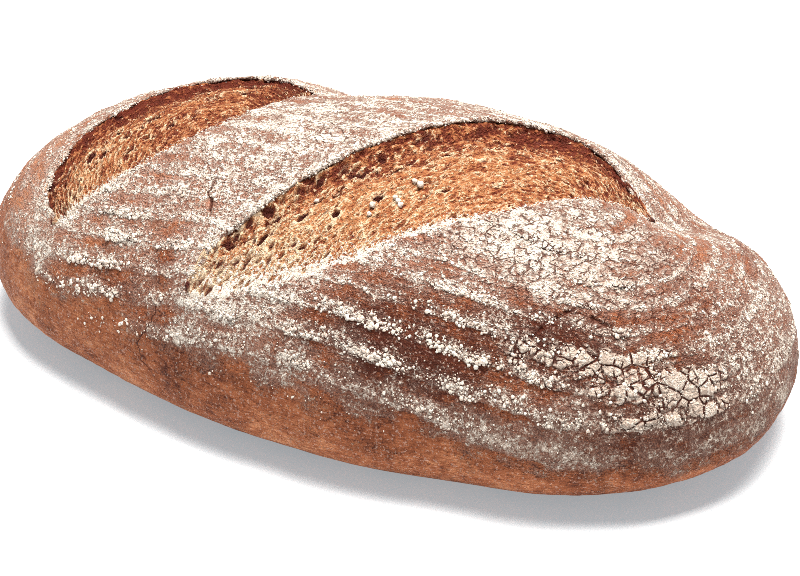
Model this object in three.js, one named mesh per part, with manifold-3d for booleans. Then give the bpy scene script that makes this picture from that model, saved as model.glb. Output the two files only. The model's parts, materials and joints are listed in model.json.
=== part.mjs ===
// Oval hearth loaf with two diagonal cuts, baked as one piece.
// Millimetres, +Z up. The origin is the middle of the flat base, and +X runs along the loaf.
import * as THREE from "three";
import { mergeVertices } from "three/addons/utils/BufferGeometryUtils.js";
import Module from "manifold-3d";

const wasm = await Module();
wasm.setup();

// Driving dimensions of the whole loaf
const LENGTH = 310;
const WIDTH = 173;
const CROWN_HEIGHT = 93.5; // top of the dome before the cuts lift its crust
const BULGE_HEIGHT = 24; // level where the loaf is widest
const BASE_SHARE = 0.68; // flat base, as a share of the widest outline
const PLAN_ROUNDNESS = 2.37; // 2 is an ellipse, more is squarer
const DOME_ROUNDNESS = 2.08;
const END_TAPER = 0.012; // the +X end is this much wider than the middle
const END_RISE = 0.008; // and this much higher
const SKIN_DETAIL = 16; // subdivision of the icosahedron that becomes the skin
const BASE_START = 0.7; // sine of the direction below which the skin is the flat base

// Where the oven spring was held back: centre, reach along x and y, how far it sinks and narrows
const WAISTS = [
  { at: [-34, 50], reach: [22, 30], sink: 5.5, narrow: 1.5 },
  { at: [98, 36], reach: [19, 26], sink: 12, narrow: 4 },
  { at: [-72, -76], reach: [34, 30], sink: 2, narrow: 3.2 },
  { at: [66, -84], reach: [24, 30], sink: 1, narrow: 3 },
  { at: [-90, 20], reach: [40, 30], sink: 1.5, narrow: 0 },
];

// Each cut opens between a raised lip and a flush edge, both seen from above
const CUTS = [
  {
    lip: [[-103, -57], [-112, -45], [-114, -30], [-113, -14], [-110, 2], [-104, 18],
      [-93, 31], [-76, 39], [-58, 38], [-43, 29], [-36, 22]],
    flush: [[-101, -57], [-92, -52], [-80, -44], [-68, -32], [-58, -18], [-49, -3],
      [-42, 11], [-35, 20]],
    depth: 7,
    farRise: 0.3,
    lipRise: 0.8,
    undercut: 2,
  },
  {
    lip: [[-36, -75], [-31, -66], [-22, -56], [-11, -40], [-1, -24], [8, -9], [17, 5],
      [25, 17], [34, 26], [46, 33], [60, 37], [74, 35], [86, 28], [97, 20]],
    flush: [[-34, -76], [-19, -75], [-2, -70], [17, -62], [32, -50], [46, -38],
      [59, -27], [71, -12], [82, 3], [96, 18]],
    depth: 8.5,
    farRise: 0.6, // the far end is this much shallower
    lipRise: 2.5,
    undercut: 3,
  },
];
const LIP_REACH = 9; // how far from the lip its rise fades
const FULL_DEPTH_WIDTH = 32; // a cut narrower than this is shallower
const FAR_START = 0.68; // share of the cut's length where the far end begins
const CRUMB_SWELL = 2; // the crumb bulges this much between lip and flush edge
const FULL_SWELL_WIDTH = 40;
const TIP_WIDTH = 10; // width below which a cut runs out to the surface
const TIP_LIFT = 1.2;
const STATIONS = 40; // cutter sections along a cut
const CUTTER_ROWS = 8; // cutter rows across a cut
const PAST_FLUSH = 1.12; // the cutter runs this far past the flush edge
const CUTTER_TOP = 120;
const MOST_LEAN = 0.1; // the cutter's lip wall leans in by at most this share of the cut's width

const between = (a, b, value) => THREE.MathUtils.smoothstep(value, a, b);
const arch = (share) => Math.sin(Math.PI * Math.min(share, 1)) ** 2;
const planCurve = (points) =>
  new THREE.CatmullRomCurve3(points.map(([x, y]) => new THREE.Vector3(x, y, 0)), false, "catmullrom", 0.5);

for (const cut of CUTS) {
  cut.lipCurve = planCurve(cut.lip);
  cut.flushCurve = planCurve(cut.flush);
  cut.lipPoints = cut.lipCurve.getPoints(80);
}

// Distance in plan from a place to a cut's lip
function lipDistance(cut, x, y) {
  const place = new THREE.Vector3(x, y, 0);
  return Math.min(...cut.lipPoints.map((point) => point.distanceTo(place)));
}

// How far the waists, and the lips' rise, move a point of the plain dome
function settle(point) {
  const { x, y, z } = point;
  const moved = point.clone();
  for (const cut of CUTS) {
    moved.z += cut.lipRise * Math.exp(-lipDistance(cut, x, y) / LIP_REACH) * between(25, 40, z);
  }
  for (const { at, reach, sink, narrow } of WAISTS) {
    const share = Math.exp(-(((x - at[0]) / reach[0]) ** 2) - ((y - at[1]) / reach[1]) ** 2);
    moved.z -= sink * share * between(5, 45, z);
    moved.y -= Math.sign(at[1]) * narrow * share * between(-12, 12, z);
  }
  return moved;
}

// The loaf's skin in the direction of a unit vector: a dome above the bulge, a rolled edge and
// the flat base below it
function skinPoint(direction) {
  const sine = direction.z;
  const flat = Math.hypot(direction.x, direction.y) || 1e-9;
  const cos = direction.x / flat;
  const sin = direction.y / flat;
  const plan = (Math.abs(cos) ** PLAN_ROUNDNESS + Math.abs(sin) ** PLAN_ROUNDNESS) ** (-1 / PLAN_ROUNDNESS);
  let share;
  let z;
  if (sine >= 0) {
    share = Math.max(0, 1 - sine ** DOME_ROUNDNESS) ** (1 / DOME_ROUNDNESS);
    z = BULGE_HEIGHT + (CROWN_HEIGHT - BULGE_HEIGHT) * sine;
  } else if (-sine < BASE_START) {
    const turn = ((-sine / BASE_START) * Math.PI) / 2;
    share = BASE_SHARE + (1 - BASE_SHARE) * Math.cos(turn);
    z = BULGE_HEIGHT * (1 - Math.sin(turn));
  } else {
    share = (BASE_SHARE * (1 + sine)) / (1 - BASE_START);
    z = 0;
  }
  const x = (LENGTH / 2) * cos * plan * share;
  const end = x / (LENGTH / 2);
  const y = (WIDTH / 2) * sin * plan * share * (1 + END_TAPER * end);
  return settle(new THREE.Vector3(x, y, z * (1 + END_RISE * end)));
}

// Height of the dome over a place in plan
function domeHeight(x, y) {
  const end = x / (LENGTH / 2);
  const side = y / ((WIDTH / 2) * (1 + END_TAPER * end));
  const share = (Math.abs(end) ** PLAN_ROUNDNESS + Math.abs(side) ** PLAN_ROUNDNESS) ** (1 / PLAN_ROUNDNESS);
  const sine = Math.max(0, 1 - Math.min(share, 1) ** DOME_ROUNDNESS) ** (1 / DOME_ROUNDNESS);
  const z = (BULGE_HEIGHT + (CROWN_HEIGHT - BULGE_HEIGHT) * sine) * (1 + END_RISE * end);
  return settle(new THREE.Vector3(x, y, z)).z;
}

function solidOf(geometry) {
  const plain = geometry.index ? geometry.toNonIndexed() : geometry;
  plain.deleteAttribute("normal");
  plain.deleteAttribute("uv");
  const merged = mergeVertices(plain, 1e-4);
  return new wasm.Manifold(
    new wasm.Mesh({
      numProp: 3,
      vertProperties: merged.attributes.position.array,
      triVerts: new Uint32Array(merged.index.array),
    }),
  );
}

function skinSolid() {
  const geometry = new THREE.IcosahedronGeometry(1, SKIN_DETAIL);
  const places = geometry.attributes.position;
  const direction = new THREE.Vector3();
  for (let i = 0; i < places.count; i += 1) {
    direction.fromBufferAttribute(places, i).normalize();
    places.setXYZ(i, ...skinPoint(direction).toArray());
  }
  return solidOf(geometry);
}

// One section across a cut: the cutter's floor and roof points from the lip to past the flush edge
function cutterSection(cut, along) {
  const lip = cut.lipCurve.getPointAt(along);
  const flush = cut.flushCurve.getPointAt(along);
  const across = flush.clone().sub(lip);
  const width = across.length();
  const inward = across.clone().normalize();
  const shallow = 1 - cut.farRise * between(FAR_START, 1, along);
  const depth = cut.depth * Math.min(1, width / FULL_DEPTH_WIDTH) * shallow;
  const lift = TIP_LIFT * (1 - between(0, TIP_WIDTH, width));
  const swell = CRUMB_SWELL * Math.min(1, width / FULL_SWELL_WIDTH);
  const floor = [];
  const roof = [];
  for (let row = 0; row <= CUTTER_ROWS; row += 1) {
    const share = (row / CUTTER_ROWS) * PAST_FLUSH;
    const place = lip.clone().addScaledVector(across, share);
    const z = domeHeight(place.x, place.y) - depth * (1 - share) + swell * arch(share) + lift;
    const atLip = row === 0 ? 1 : 0;
    const under = atLip * cut.undercut * (depth / cut.depth);
    const lean = atLip * Math.min(((CUTTER_TOP - z) * cut.undercut) / cut.depth, width * MOST_LEAN);
    floor.push([...place.clone().addScaledVector(inward, -under).toArray().slice(0, 2), z]);
    roof.push([...place.clone().addScaledVector(inward, lean).toArray().slice(0, 2), CUTTER_TOP]);
  }
  return [...floor, ...roof.reverse()];
}

// The cutter is a loft through its sections, closed at both tips
function cutterSolid(cut) {
  const positions = [];
  const sections = [];
  for (let i = 0; i <= STATIONS; i += 1) sections.push(cutterSection(cut, i / STATIONS));
  const ring = sections[0].length;
  const triangle = (a, b, c) => positions.push(...a, ...b, ...c);
  for (let i = 0; i < STATIONS; i += 1) {
    for (let j = 0; j < ring; j += 1) {
      const k = (j + 1) % ring;
      triangle(sections[i][j], sections[i + 1][j], sections[i + 1][k]);
      triangle(sections[i][j], sections[i + 1][k], sections[i][k]);
    }
  }
  const last = ring - 1;
  for (let j = 0; j < ring / 2 - 1; j += 1) {
    const [start, end] = [sections[0], sections[STATIONS]];
    triangle(start[j], start[j + 1], start[last - j - 1]);
    triangle(start[j], start[last - j - 1], start[last - j]);
    triangle(end[j], end[last - j - 1], end[j + 1]);
    triangle(end[j], end[last - j], end[last - j - 1]);
  }
  const geometry = new THREE.BufferGeometry();
  geometry.setAttribute("position", new THREE.Float32BufferAttribute(positions, 3));
  return solidOf(geometry);
}

function loafMesh() {
  let solid = skinSolid();
  for (const cut of CUTS) solid = solid.subtract(cutterSolid(cut));
  const { vertProperties, triVerts, numProp } = solid.getMesh();
  const positions = new Float32Array((vertProperties.length / numProp) * 3);
  for (let i = 0; i < positions.length / 3; i += 1) {
    positions.set(vertProperties.subarray(i * numProp, i * numProp + 3), i * 3);
  }
  const geometry = new THREE.BufferGeometry();
  geometry.setAttribute("position", new THREE.BufferAttribute(positions, 3));
  geometry.setIndex(new THREE.BufferAttribute(new Uint32Array(triVerts), 1));
  geometry.computeVertexNormals();
  const crust = new THREE.MeshStandardMaterial({ color: 0xb4703f, roughness: 0.82, metalness: 0 });
  const mesh = new THREE.Mesh(geometry, crust);
  mesh.name = "loaf";
  return mesh;
}

const loaf = new THREE.Group();
loaf.add(loafMesh());
export default loaf;
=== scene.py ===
import itertools
import json
import math

import bpy
import numpy as np
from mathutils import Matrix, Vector

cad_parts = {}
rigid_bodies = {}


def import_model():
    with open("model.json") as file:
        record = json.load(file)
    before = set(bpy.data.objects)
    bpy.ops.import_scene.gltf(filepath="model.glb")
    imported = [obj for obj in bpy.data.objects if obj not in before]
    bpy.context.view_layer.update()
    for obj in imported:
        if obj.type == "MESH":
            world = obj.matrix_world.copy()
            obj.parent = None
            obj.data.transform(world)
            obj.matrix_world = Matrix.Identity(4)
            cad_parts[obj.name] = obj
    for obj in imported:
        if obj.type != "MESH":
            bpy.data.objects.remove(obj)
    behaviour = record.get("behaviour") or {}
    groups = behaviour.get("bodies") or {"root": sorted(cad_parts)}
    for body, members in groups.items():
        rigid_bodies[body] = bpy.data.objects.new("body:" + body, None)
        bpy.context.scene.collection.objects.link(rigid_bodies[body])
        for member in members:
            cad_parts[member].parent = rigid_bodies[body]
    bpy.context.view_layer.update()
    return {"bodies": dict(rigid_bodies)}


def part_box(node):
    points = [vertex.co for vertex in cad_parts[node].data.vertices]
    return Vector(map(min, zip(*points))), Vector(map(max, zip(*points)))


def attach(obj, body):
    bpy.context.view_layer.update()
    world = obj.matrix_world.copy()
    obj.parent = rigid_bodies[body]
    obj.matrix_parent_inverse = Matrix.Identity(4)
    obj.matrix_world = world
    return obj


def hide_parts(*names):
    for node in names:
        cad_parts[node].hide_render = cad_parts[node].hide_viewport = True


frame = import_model()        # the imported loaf, its one body and its record

mm = 0.001
loafLow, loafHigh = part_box("loaf")
loafBody = next(iter(frame["bodies"]))

# The whole loaf, in millimetres: size from the frame, roundness given
lipsOverCrown = 1.8          # the cut lips stand this much over the dome
loafShape = {
    "length": (loafHigh.x - loafLow.x) / mm,
    "width": (loafHigh.y - loafLow.y) / mm,
    "crown": (loafHigh.z - loafLow.z) / mm - lipsOverCrown,
    "bulge": 24,            # height where the loaf is widest
    "baseShare": 0.68,      # flat base against the widest outline
    "planRound": 2.37,      # 2 is an ellipse, more is squarer
    "domeRound": 2.08,
    "endTaper": 0.012,
    "endRise": 0.008,
    "baseStart": 0.7,
    "lipReach": 9,          # how far from a lip its lift fades
    "lipFarthest": 40,      # and where it is gone
    "lipSettles": 0.72,     # share of its length where a lip starts to come down again
    "detail": 9,
    "faces": 195000,        # most triangles that the crust and the flour layer keep
    "untouched": 30.0,      # stands for a distance too far from any cut to matter
}

# Where the oven spring was held back: centre, reach, how far it sinks and narrows
waists = [
    {"at": (-34, 50), "reach": (22, 30), "sink": 5.5, "narrow": 1.5},
    {"at": (98, 36), "reach": (19, 26), "sink": 12, "narrow": 4},
    {"at": (-72, -76), "reach": (34, 30), "sink": 2, "narrow": 3.2},
    {"at": (66, -84), "reach": (24, 30), "sink": 1, "narrow": 3},
    {"at": (-90, 20), "reach": (40, 30), "sink": 1.5, "narrow": 0},
]

# Each cut opened between a raised lip and a flush edge, both drawn from above. The lip's wall goes
# down by depth and leans under the lip by undercut, and nose is the roundness of the lip's edge.
cuts = {
    "endCut": {
        "lip": [(-103, -57), (-112, -45), (-114, -30), (-113, -14), (-110, 2), (-104, 18),
                (-93, 31), (-76, 39), (-58, 38), (-43, 29), (-36, 22)],
        "flush": [(-101, -57), (-92, -52), (-80, -44), (-68, -32), (-58, -18), (-49, -3),
                  (-42, 11), (-35, 20)],
        "depth": 8, "lipRise": 0.8, "undercut": 2.4, "nose": 0.9, "baked": 0.62, "farRise": 0.3,
    },
    "middleCut": {
        "lip": [(-36, -75), (-31, -66), (-22, -56), (-11, -40), (-1, -24), (8, -9), (17, 5),
                (25, 17), (34, 26), (46, 33), (60, 37), (74, 35), (86, 28), (97, 20)],
        "flush": [(-34, -76), (-19, -75), (-2, -70), (17, -62), (32, -50), (46, -38),
                  (59, -27), (71, -12), (82, 3), (96, 18)],
        "depth": 10, "lipRise": 2.5, "undercut": 3.4, "nose": 1.1, "baked": 0.0, "farRise": 0.75,
    },
}


def between(low, high, value):
    # 0 at low and 1 at high, smooth between
    share = np.clip((value - low) / (high - low), 0, 1)
    return share * share * (3 - 2 * share)


def arch(share):
    # 0 at both ends and 1 in the middle
    return np.sin(math.pi * np.clip(share, 0, 1)) ** 2


# Smooth random waves from about -1 to 1, the same on every run
def waves(points, seed):
    random = np.random.default_rng(seed)
    dims = points.shape[1]
    slopes = random.normal(size=(1024, dims))
    slopes /= np.linalg.norm(slopes, axis=1)[:, None]
    strides = np.array([1, 57, 113])[:dims]
    corner = np.floor(points).astype(np.int64)
    part = points - corner
    fade = part ** 3 * (part * (part * 6 - 15) + 10)
    total = np.zeros(len(points))
    for step in itertools.product((0, 1), repeat=dims):
        key = ((corner + step) * strides).sum(axis=1)
        key = ((key ^ (key >> 5)) * 2654435761 + seed) % 1021
        weight = np.prod(np.where(np.array(step) == 1, fade, 1 - fade), axis=1)
        total += weight * np.einsum("ij,ij->i", slopes[key], part - step)
    return total * 1.5


def evenCurve(points, count):
    # smooth curve through the points, cut into even steps
    path = np.array(points, float)
    path = np.vstack([2 * path[0] - path[1], path, 2 * path[-1] - path[-2]])
    fine = []
    for i in range(1, len(path) - 2):
        before, start, end, after = path[i - 1:i + 3]
        t = np.linspace(0, 1, 24, endpoint=False)[:, None]
        fine.append(0.5 * (2 * start + (end - before) * t
                           + (2 * before - 5 * start + 4 * end - after) * t ** 2
                           + (3 * start - before - 3 * end + after) * t ** 3))
    fine = np.vstack(fine + [path[-2:-1]])
    run = np.concatenate([[0], np.cumsum(np.linalg.norm(np.diff(fine, axis=0), axis=1))])
    even = np.linspace(0, run[-1], count)
    return np.stack([np.interp(even, run, fine[:, axis]) for axis in range(path.shape[1])], axis=1)


def nearest(points, line):
    # distance from each point to the line, the way there, and how far along it is
    best = np.full(len(points), 1e9)
    foot = np.zeros((len(points), 2))
    along = np.zeros(len(points))
    run = 0.0
    for start, end in zip(line[:-1], line[1:]):
        way = end - start
        reach = np.linalg.norm(way)
        share = np.clip((points - start) @ way / reach ** 2, 0, 1)
        place = start + share[:, None] * way
        away = np.linalg.norm(points - place, axis=1)
        closer = away < best
        best[closer] = away[closer]
        foot[closer] = place[closer]
        along[closer] = run + share[closer] * reach
        run += reach
    return best, foot, along


def insideOutline(points, outline):
    inside = np.zeros(len(points), bool)
    for start, end in zip(outline, np.roll(outline, -1, axis=0)):
        crosses = (start[1] > points[:, 1]) != (end[1] > points[:, 1])
        rise = end[1] - start[1]
        rise = rise if abs(rise) > 1e-9 else 1e-9
        edgeX = start[0] + (points[:, 1] - start[1]) / rise * (end[0] - start[0])
        inside ^= crosses & (points[:, 0] < edgeX)
    return inside


edgeSteps = 60
for cut in cuts.values():
    cut["lipLine"] = evenCurve(cut["lip"], edgeSteps)
    cut["flushLine"] = evenCurve(cut["flush"], edgeSteps)
    cut["outline"] = np.vstack([cut["lipLine"], cut["flushLine"][::-1]])


def settle(place):
    # the waists, and the lift of the skin beside each lip
    moved = place.copy()
    x, y, z = place.T
    for cut in cuts.values():
        line = cut["lipLine"]
        low = line.min(axis=0) - loafShape["lipFarthest"]
        high = line.max(axis=0) + loafShape["lipFarthest"]
        near = (z > 25) & (x > low[0]) & (x < high[0]) & (y > low[1]) & (y < high[1])
        away, _, along = nearest(place[near, :2], line)
        lift = cut["lipRise"] * between(1.0, loafShape["lipSettles"], along / along.max())
        moved[near, 2] += lift * np.exp(-away / loafShape["lipReach"]) * between(25, 40, z[near])
    for waist in waists:
        (atX, atY), (reachX, reachY) = waist["at"], waist["reach"]
        share = np.exp(-((x - atX) / reachX) ** 2 - ((y - atY) / reachY) ** 2)
        moved[:, 2] -= waist["sink"] * share * between(5, 45, z)
        moved[:, 1] -= math.copysign(1, atY) * waist["narrow"] * share * between(-12, 12, z)
    return moved


def loafSkin(direction):
    # unit directions to places on the skin: a dome, a rolled edge and the flat base
    shape = loafShape
    sine = direction[:, 2]
    flat = np.hypot(direction[:, 0], direction[:, 1])
    pole = flat < 1e-6
    cosine = np.where(pole, 1, direction[:, 0] / np.maximum(flat, 1e-9))
    cross = np.where(pole, 0, direction[:, 1] / np.maximum(flat, 1e-9))
    power = shape["planRound"]
    plan = (np.abs(cosine) ** power + np.abs(cross) ** power) ** (-1 / power)
    dome = shape["domeRound"]
    up = np.clip(sine, 0, 1)
    turn = np.clip(-sine / shape["baseStart"], 0, 1) * math.pi / 2
    share = np.clip(1 - up ** dome, 0, 1) ** (1 / dome)
    share = np.where(sine < 0, shape["baseShare"] + (1 - shape["baseShare"]) * np.cos(turn), share)
    below = sine < -shape["baseStart"]
    share = np.where(below, shape["baseShare"] * (1 + sine) / (1 - shape["baseStart"]), share)
    z = np.where(sine < 0, shape["bulge"] * (1 - np.sin(turn)),
                 shape["bulge"] + (shape["crown"] - shape["bulge"]) * up)
    end = cosine * plan * share
    x = shape["length"] / 2 * end
    y = shape["width"] / 2 * cross * plan * share * (1 + shape["endTaper"] * end)
    return settle(np.stack([x, y, z * (1 + shape["endRise"] * end)], axis=1))


def domeHeight(plan):
    shape = loafShape
    end = plan[:, 0] / (shape["length"] / 2)
    side = plan[:, 1] / (shape["width"] / 2 * (1 + shape["endTaper"] * end))
    power = shape["planRound"]
    share = np.minimum((np.abs(end) ** power + np.abs(side) ** power) ** (1 / power), 1)
    dome = shape["domeRound"]
    z = shape["bulge"] + (shape["crown"] - shape["bulge"]) * (1 - share ** dome) ** (1 / dome)
    return settle(np.column_stack([plan, z * (1 + shape["endRise"] * end)]))[:, 2]


# How the crust tears along a cut
tearShape = {
    "reach": 12,            # nothing moves farther than this from a cut's outline
    "lowest": 30,           # or lower than this
    "farStart": 0.68,       # share of the cut's length where its far end begins to rise
    "fullWidth": 32,        # a cut narrower than this is shallower
    "tip": (3, 18),         # the cut closes between these widths, towards its tips
    "wall": 6.5,            # width of the wall under the lip
    "wallShare": 0.32,      # and its share of a narrow cut
    "belowCrumb": 3,        # the skin inside the cut lies this far under the crumb
    "torn": (0.06, 0.3),    # shares of the wall where the crust's colour ends
}


def openCut(place, cut):
    # fold the skin over the lip and down under it, and drop it inside the cut
    shape = tearShape
    line = cut["outline"]
    low = line.min(axis=0) - shape["reach"]
    high = line.max(axis=0) + shape["reach"]
    near = (place[:, 2] > shape["lowest"]) & np.all(place[:, :2] > low, axis=1)
    near &= np.all(place[:, :2] < high, axis=1)
    here = place[near]
    plan = here[:, :2]
    inside = insideOutline(plan, line)
    toLip, foot, along = nearest(plan, cut["lipLine"])
    toFlush = nearest(plan, cut["flushLine"])[0]
    width = toLip + toFlush
    shallow = 1 - cut["farRise"] * between(shape["farStart"], 1.0, along / along.max())
    ragged = waves(here / 3.1, 11) * 0.8 + waves(here / 1.3, 12) * 0.45
    toLip = np.maximum(toLip + np.where(inside, ragged * 0.5, 0), 0)   # a torn edge, not a drawn one
    gape = between(*shape["tip"], width)
    depth = cut["depth"] * np.clip(width / shape["fullWidth"], 0, 1) * shallow
    nose = np.minimum(cut["nose"] * (1 + 0.35 * ragged), depth * 0.36)
    inward = (plan - foot) / np.maximum(toLip, 1e-6)[:, None]
    drop = np.zeros(len(here))
    slide = np.zeros(len(here))

    outer = ~inside & (toLip < nose) & (toLip <= toFlush + 2)
    left = np.where(outer, nose - toLip, 0)
    drop += np.where(outer, nose - np.sqrt(np.maximum(nose ** 2 - left ** 2, 0)), 0) * gape

    band = np.minimum(shape["wall"], shape["wallShare"] * width)
    wall = np.clip(toLip / np.maximum(band, 1e-6), 0, 1)
    turn = np.clip(wall / 0.5, 0, 1) * math.pi / 2
    below = np.clip((wall - 0.5) / 0.5, 0, 1)
    under = cut["undercut"] * gape
    wallSlide = -nose * (1 - np.cos(turn)) - (under - nose) * below
    wallDrop = nose * (1 + np.sin(turn)) + (depth + shape["belowCrumb"] - 2 * nose) * below
    floor = np.clip((toLip - band) / np.maximum(width - band, 1e-6), 0, 1)
    floorSlide = -under + (width + under) * floor
    frayed = waves(here / 7, 13) * 1.6 + waves(here / 2.6, 14) * 1.1
    step = between(0.3, 1.6, toFlush + frayed)       # crust flaps left along the flush edge
    floorDrop = depth * (1 - floor) + shape["belowCrumb"] * step
    onWall = toLip < band
    slide += np.where(inside, np.where(onWall, wallSlide, floorSlide) - toLip, 0) * gape
    drop += np.where(inside, np.where(onWall, wallDrop, floorDrop), 0) * gape

    slid = np.abs(slide) > 0.01
    before = here[slid, :2].copy()
    here[:, :2] += inward * slide[:, None]
    here[:, 2] -= drop
    here[slid, 2] += domeHeight(here[slid, :2]) - domeHeight(before)    # follow the dome's slope
    moved = place.copy()
    moved[near] = here
    tear = np.zeros(len(place))
    flushSide = between(0.4, 1.5, toFlush + frayed)
    tear[near] = np.where(inside, np.where(onWall, between(*shape["torn"], wall) * gape, flushSide), 0.0)
    edge = np.full(len(place), loafShape["untouched"])
    edge[near] = np.minimum(toLip, toFlush)
    lipAway = np.full(len(place), loafShape["untouched"])
    lipAway[near] = toLip
    return moved, tear, edge, lipAway


# One value in a node tree. Operators on it add Math nodes, and node() adds any other node.
class Flow:
    def __init__(self, tree, socket=None):
        self.tree = tree
        self.socket = socket

    def node(self, kind, settings=None, inputs=None, output=0):
        made = self.tree.nodes.new(kind)
        for name, value in (settings or {}).items():
            setattr(made, name, value)
        for name, value in (inputs or {}).items():
            if isinstance(value, Flow):
                self.tree.links.new(value.socket, made.inputs[name])
            else:
                made.inputs[name].default_value = value
        return Flow(self.tree, made.outputs[output] if len(made.outputs) else None)

    def math(self, operation, first, second=0.0):
        return self.node("ShaderNodeMath", {"operation": operation}, {0: first, 1: second})

    def __add__(self, other):
        return self.math("ADD", self, other)

    def __radd__(self, other):
        return self.math("ADD", other, self)

    def __sub__(self, other):
        return self.math("SUBTRACT", self, other)

    def __rsub__(self, other):
        return self.math("SUBTRACT", other, self)

    def __mul__(self, other):
        return self.math("MULTIPLY", self, other)

    def __rmul__(self, other):
        return self.math("MULTIPLY", other, self)

    def __truediv__(self, other):
        return self.math("DIVIDE", self, other)

    def __pow__(self, other):
        return self.math("POWER", self, other)

    def __abs__(self):
        return self.math("ABSOLUTE", self)

    def greatest(self, other):
        return self.math("MAXIMUM", self, other)

    def least(self, other):
        return self.math("MINIMUM", self, other)

    def fraction(self):
        return self.math("FRACT", self)

    def fade(self, low, high):
        # 0 below low and 1 above high, smooth between; the other way round if low is the greater
        ends = {"Value": self, "From Min": min(low, high), "From Max": max(low, high),
                "To Min": 0.0 if low < high else 1.0, "To Max": 1.0 if low < high else 0.0}
        return self.node("ShaderNodeMapRange", {"interpolation_type": "SMOOTHSTEP"}, ends)

    def part(self, axis):
        # 0, 1 or 2 for x, y or z
        return self.node("ShaderNodeSeparateXYZ", None, {0: self}, axis)

    def stretched(self, scale):
        return self.node("ShaderNodeVectorMath", {"operation": "MULTIPLY"}, {0: self, 1: scale})

    def shifted(self, way):
        return self.node("ShaderNodeVectorMath", {"operation": "ADD"}, {0: self, 1: way})

    def noise(self, size, detail=2.0, roughness=0.5, output=0):
        return self.node("ShaderNodeTexNoise", None,
                         {"Vector": self, "Scale": 1 / size, "Detail": detail, "Roughness": roughness},
                         output)

    def warped(self, size, amount):
        # places pushed about, so that cells and rings lose their straight sides
        push = self.noise(size, 2.0, 0.5, 1).shifted((-0.5, -0.5, -0.5)).stretched((amount,) * 3)
        return self.shifted(push)

    def cellEdge(self, size):
        # how far it is to the edge of a cell
        return self.node("ShaderNodeTexVoronoi", {"feature": "DISTANCE_TO_EDGE"},
                         {"Vector": self, "Scale": 1 / size})

    def mixed(self, colour, other):
        # this value is the share of the other colour
        return self.node("ShaderNodeMix", {"data_type": "RGBA"}, {0: self, 6: colour, 7: other}, 2)


# Flour on the crust. Sizes are in millimetres, amounts run from 0, none, to 1, a full cover.
flourFinish = {
    "ringSpacing": 10.2,       # grooves of the proofing basket
    "ringCentre": 82,          # half length of the line that the rings run round
    "ringSlope": 0.53,         # rings step down the side of the dome
    "ringWander": 7.0, "wanderSize": 26,     # the rings wander slowly
    "ringJitter": 4.0, "jitterSize": 5,      # and shake a little
    "ringStart": 0.18,
    "ringRise": (0.25, 0.86), "ringDrop": (1.0, 0.94),      # a ring's flour, with a steep lower edge
    "crestRise": (0.5, 0.86), "crestDrop": (1.0, 0.93),     # and its thickest part
    "wornSize": 17,            # patches where the rings are rubbed away
    "ledge": 0.6,              # height of a ring's lower edge in the crust itself
    "blotch": 11.0, "blotchAmount": 1.7,
    "streak": 2.6, "streakAmount": 1.1,      # thin lines that follow the rings
    "streakLength": 14,
    "breakSize": 4.5, "breakAmount": 3.4,    # breaks in the thick flour
    "grain": 1.25,
    "clump": 2.0,              # thick flour in the rings gathers in clumps
    "plate": 6.0,              # and splits into plates where it lies thickest
    "smallPlate": 2.9,
    "layer": 1.3,              # thickness of the thickest flour
    "shell": 0.6,              # and of the skin that closes it underneath
    "overhang": 0.7,           # how far a ring's clumps hang over its lower edge
    "crackle": 4.6,
    "fineCrackle": 2.2,
    "layerStart": 0.1,
}


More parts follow.
